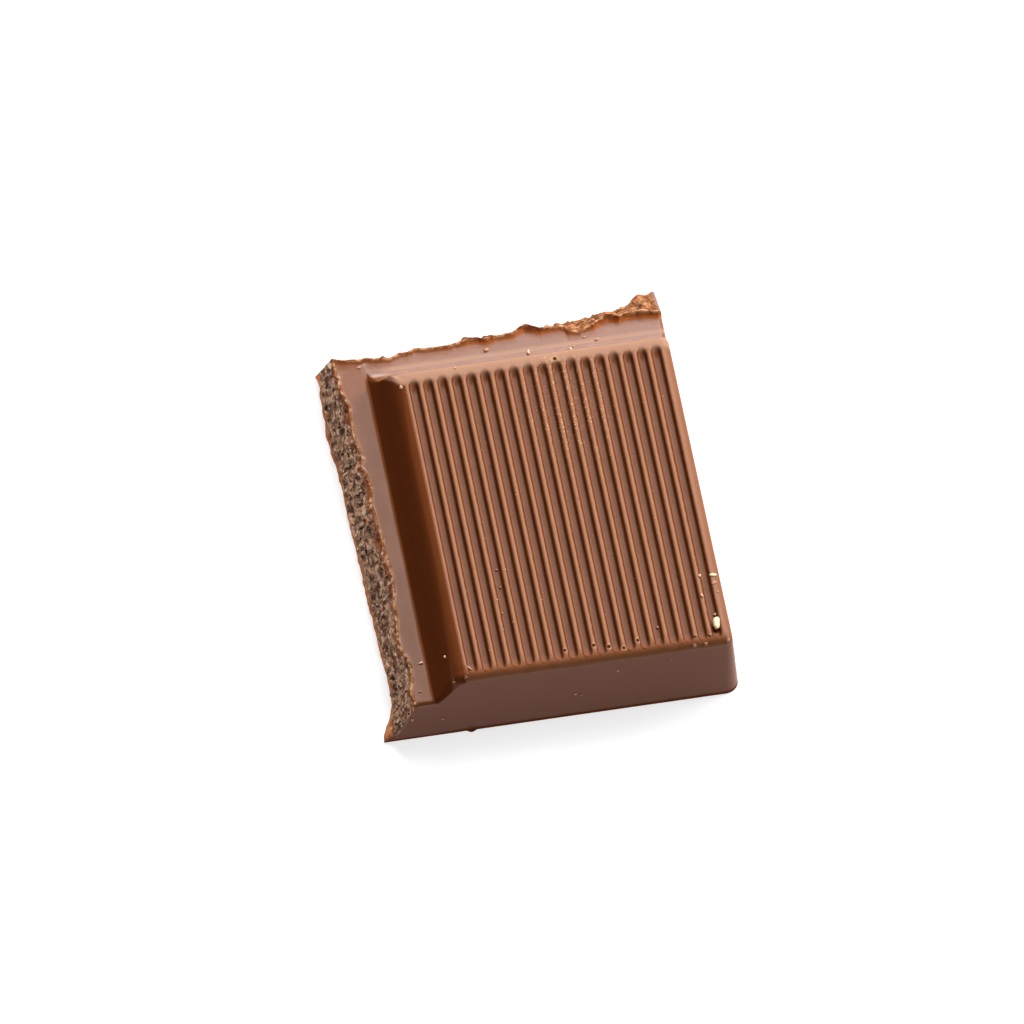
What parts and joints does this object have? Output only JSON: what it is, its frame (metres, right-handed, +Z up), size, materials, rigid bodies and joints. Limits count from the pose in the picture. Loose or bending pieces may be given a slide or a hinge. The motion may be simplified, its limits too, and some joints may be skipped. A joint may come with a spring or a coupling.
{
  "type": "chocolate bar piece",
  "caption": "Corner piece broken off a moulded milk chocolate bar, with a finely grooved raised top, two smooth drafted walls and two rough broken faces.",
  "frame": {"origin": "centre of the underside's bounding box, on the surface that the piece lies on", "axes": "+X towards the moulded right-hand wall, +Y away from the moulded front wall and along the fine grooves, +Z up out of the grooved top"},
  "size_m": [0.025, 0.0344, 0.006],
  "materials": {
    "milk_chocolate": "semi-gloss moulded chocolate, dry and grainy where it is broken"
  },
  "bodies": {
    "root": {"chocolate_piece": "milk_chocolate"}
  },
  "joints": []
}
